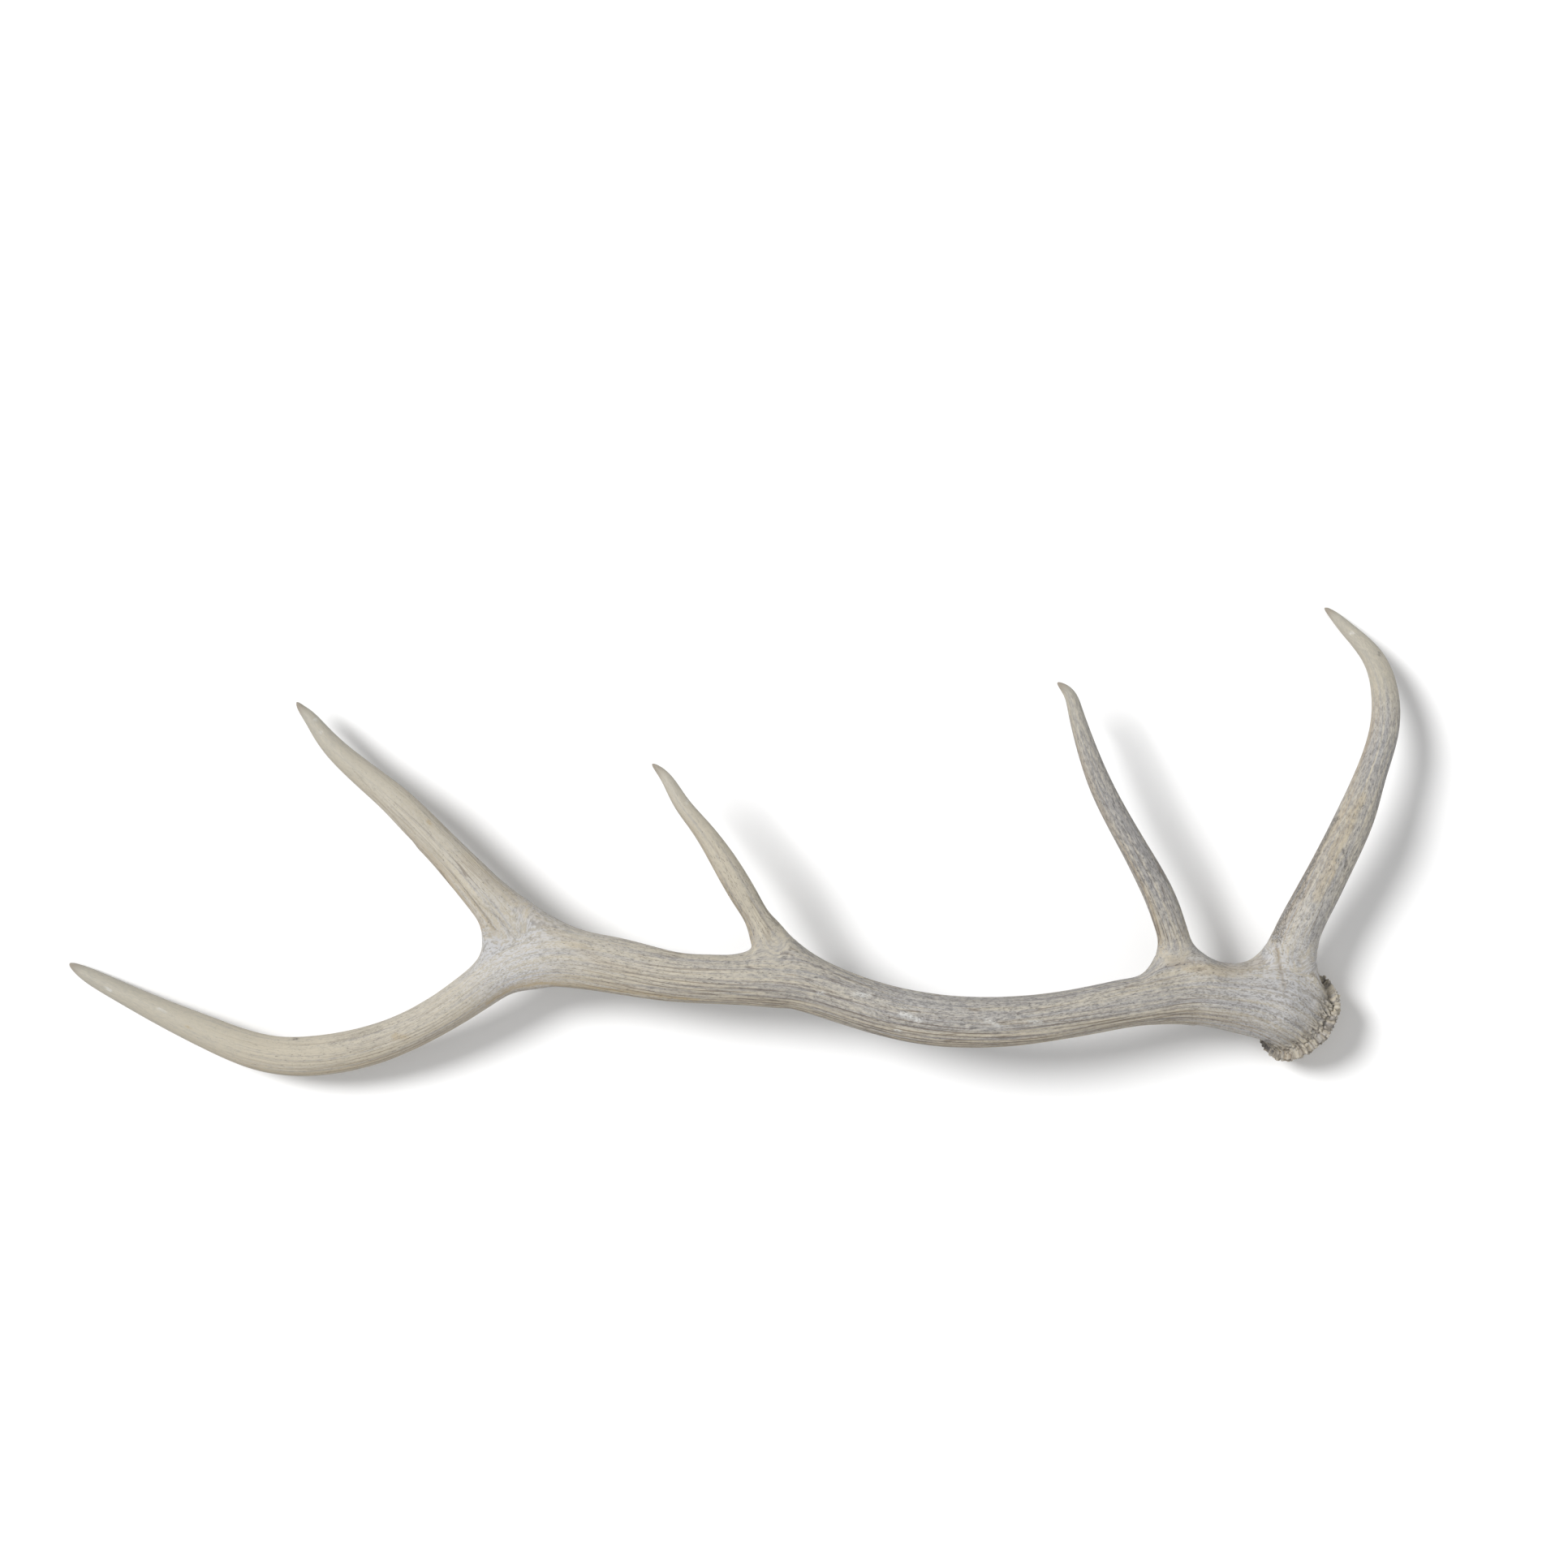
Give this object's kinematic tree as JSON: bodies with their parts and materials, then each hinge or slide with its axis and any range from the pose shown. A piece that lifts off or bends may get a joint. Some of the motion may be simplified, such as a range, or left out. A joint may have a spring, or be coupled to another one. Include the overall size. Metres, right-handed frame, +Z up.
{
  "type": "elk antler",
  "caption": "Shed elk antler lying on its inner side: a curved beam with a pearled burr, long brow and bez tines, a trez tine and a forked end.",
  "frame": {"origin": "on the floor, below the middle of the antler as it lies", "axes": "+X along the beam towards the burr, +Y towards the side that the tines grow from, +Z up, away from the floor"},
  "size_m": [1.0076, 0.355, 0.1141],
  "materials": {
    "beam_bone": "dry weathered bone, grey beige, matt, with fine grooves along the beam",
    "grey_bone": "dry weathered bone, grey with cream streaks, matt, with pits and grooves",
    "cream_bone": "dry bone, cream, worn smoother and slightly shiny towards the tips"
  },
  "bodies": {
    "root": {"main_beam": "beam_bone", "brow_tine": "grey_bone", "bez_tine": "grey_bone", "trez_tine": "cream_bone", "fork_upper_tine": "cream_bone", "fork_lower_tine": "cream_bone"}
  },
  "joints": []
}
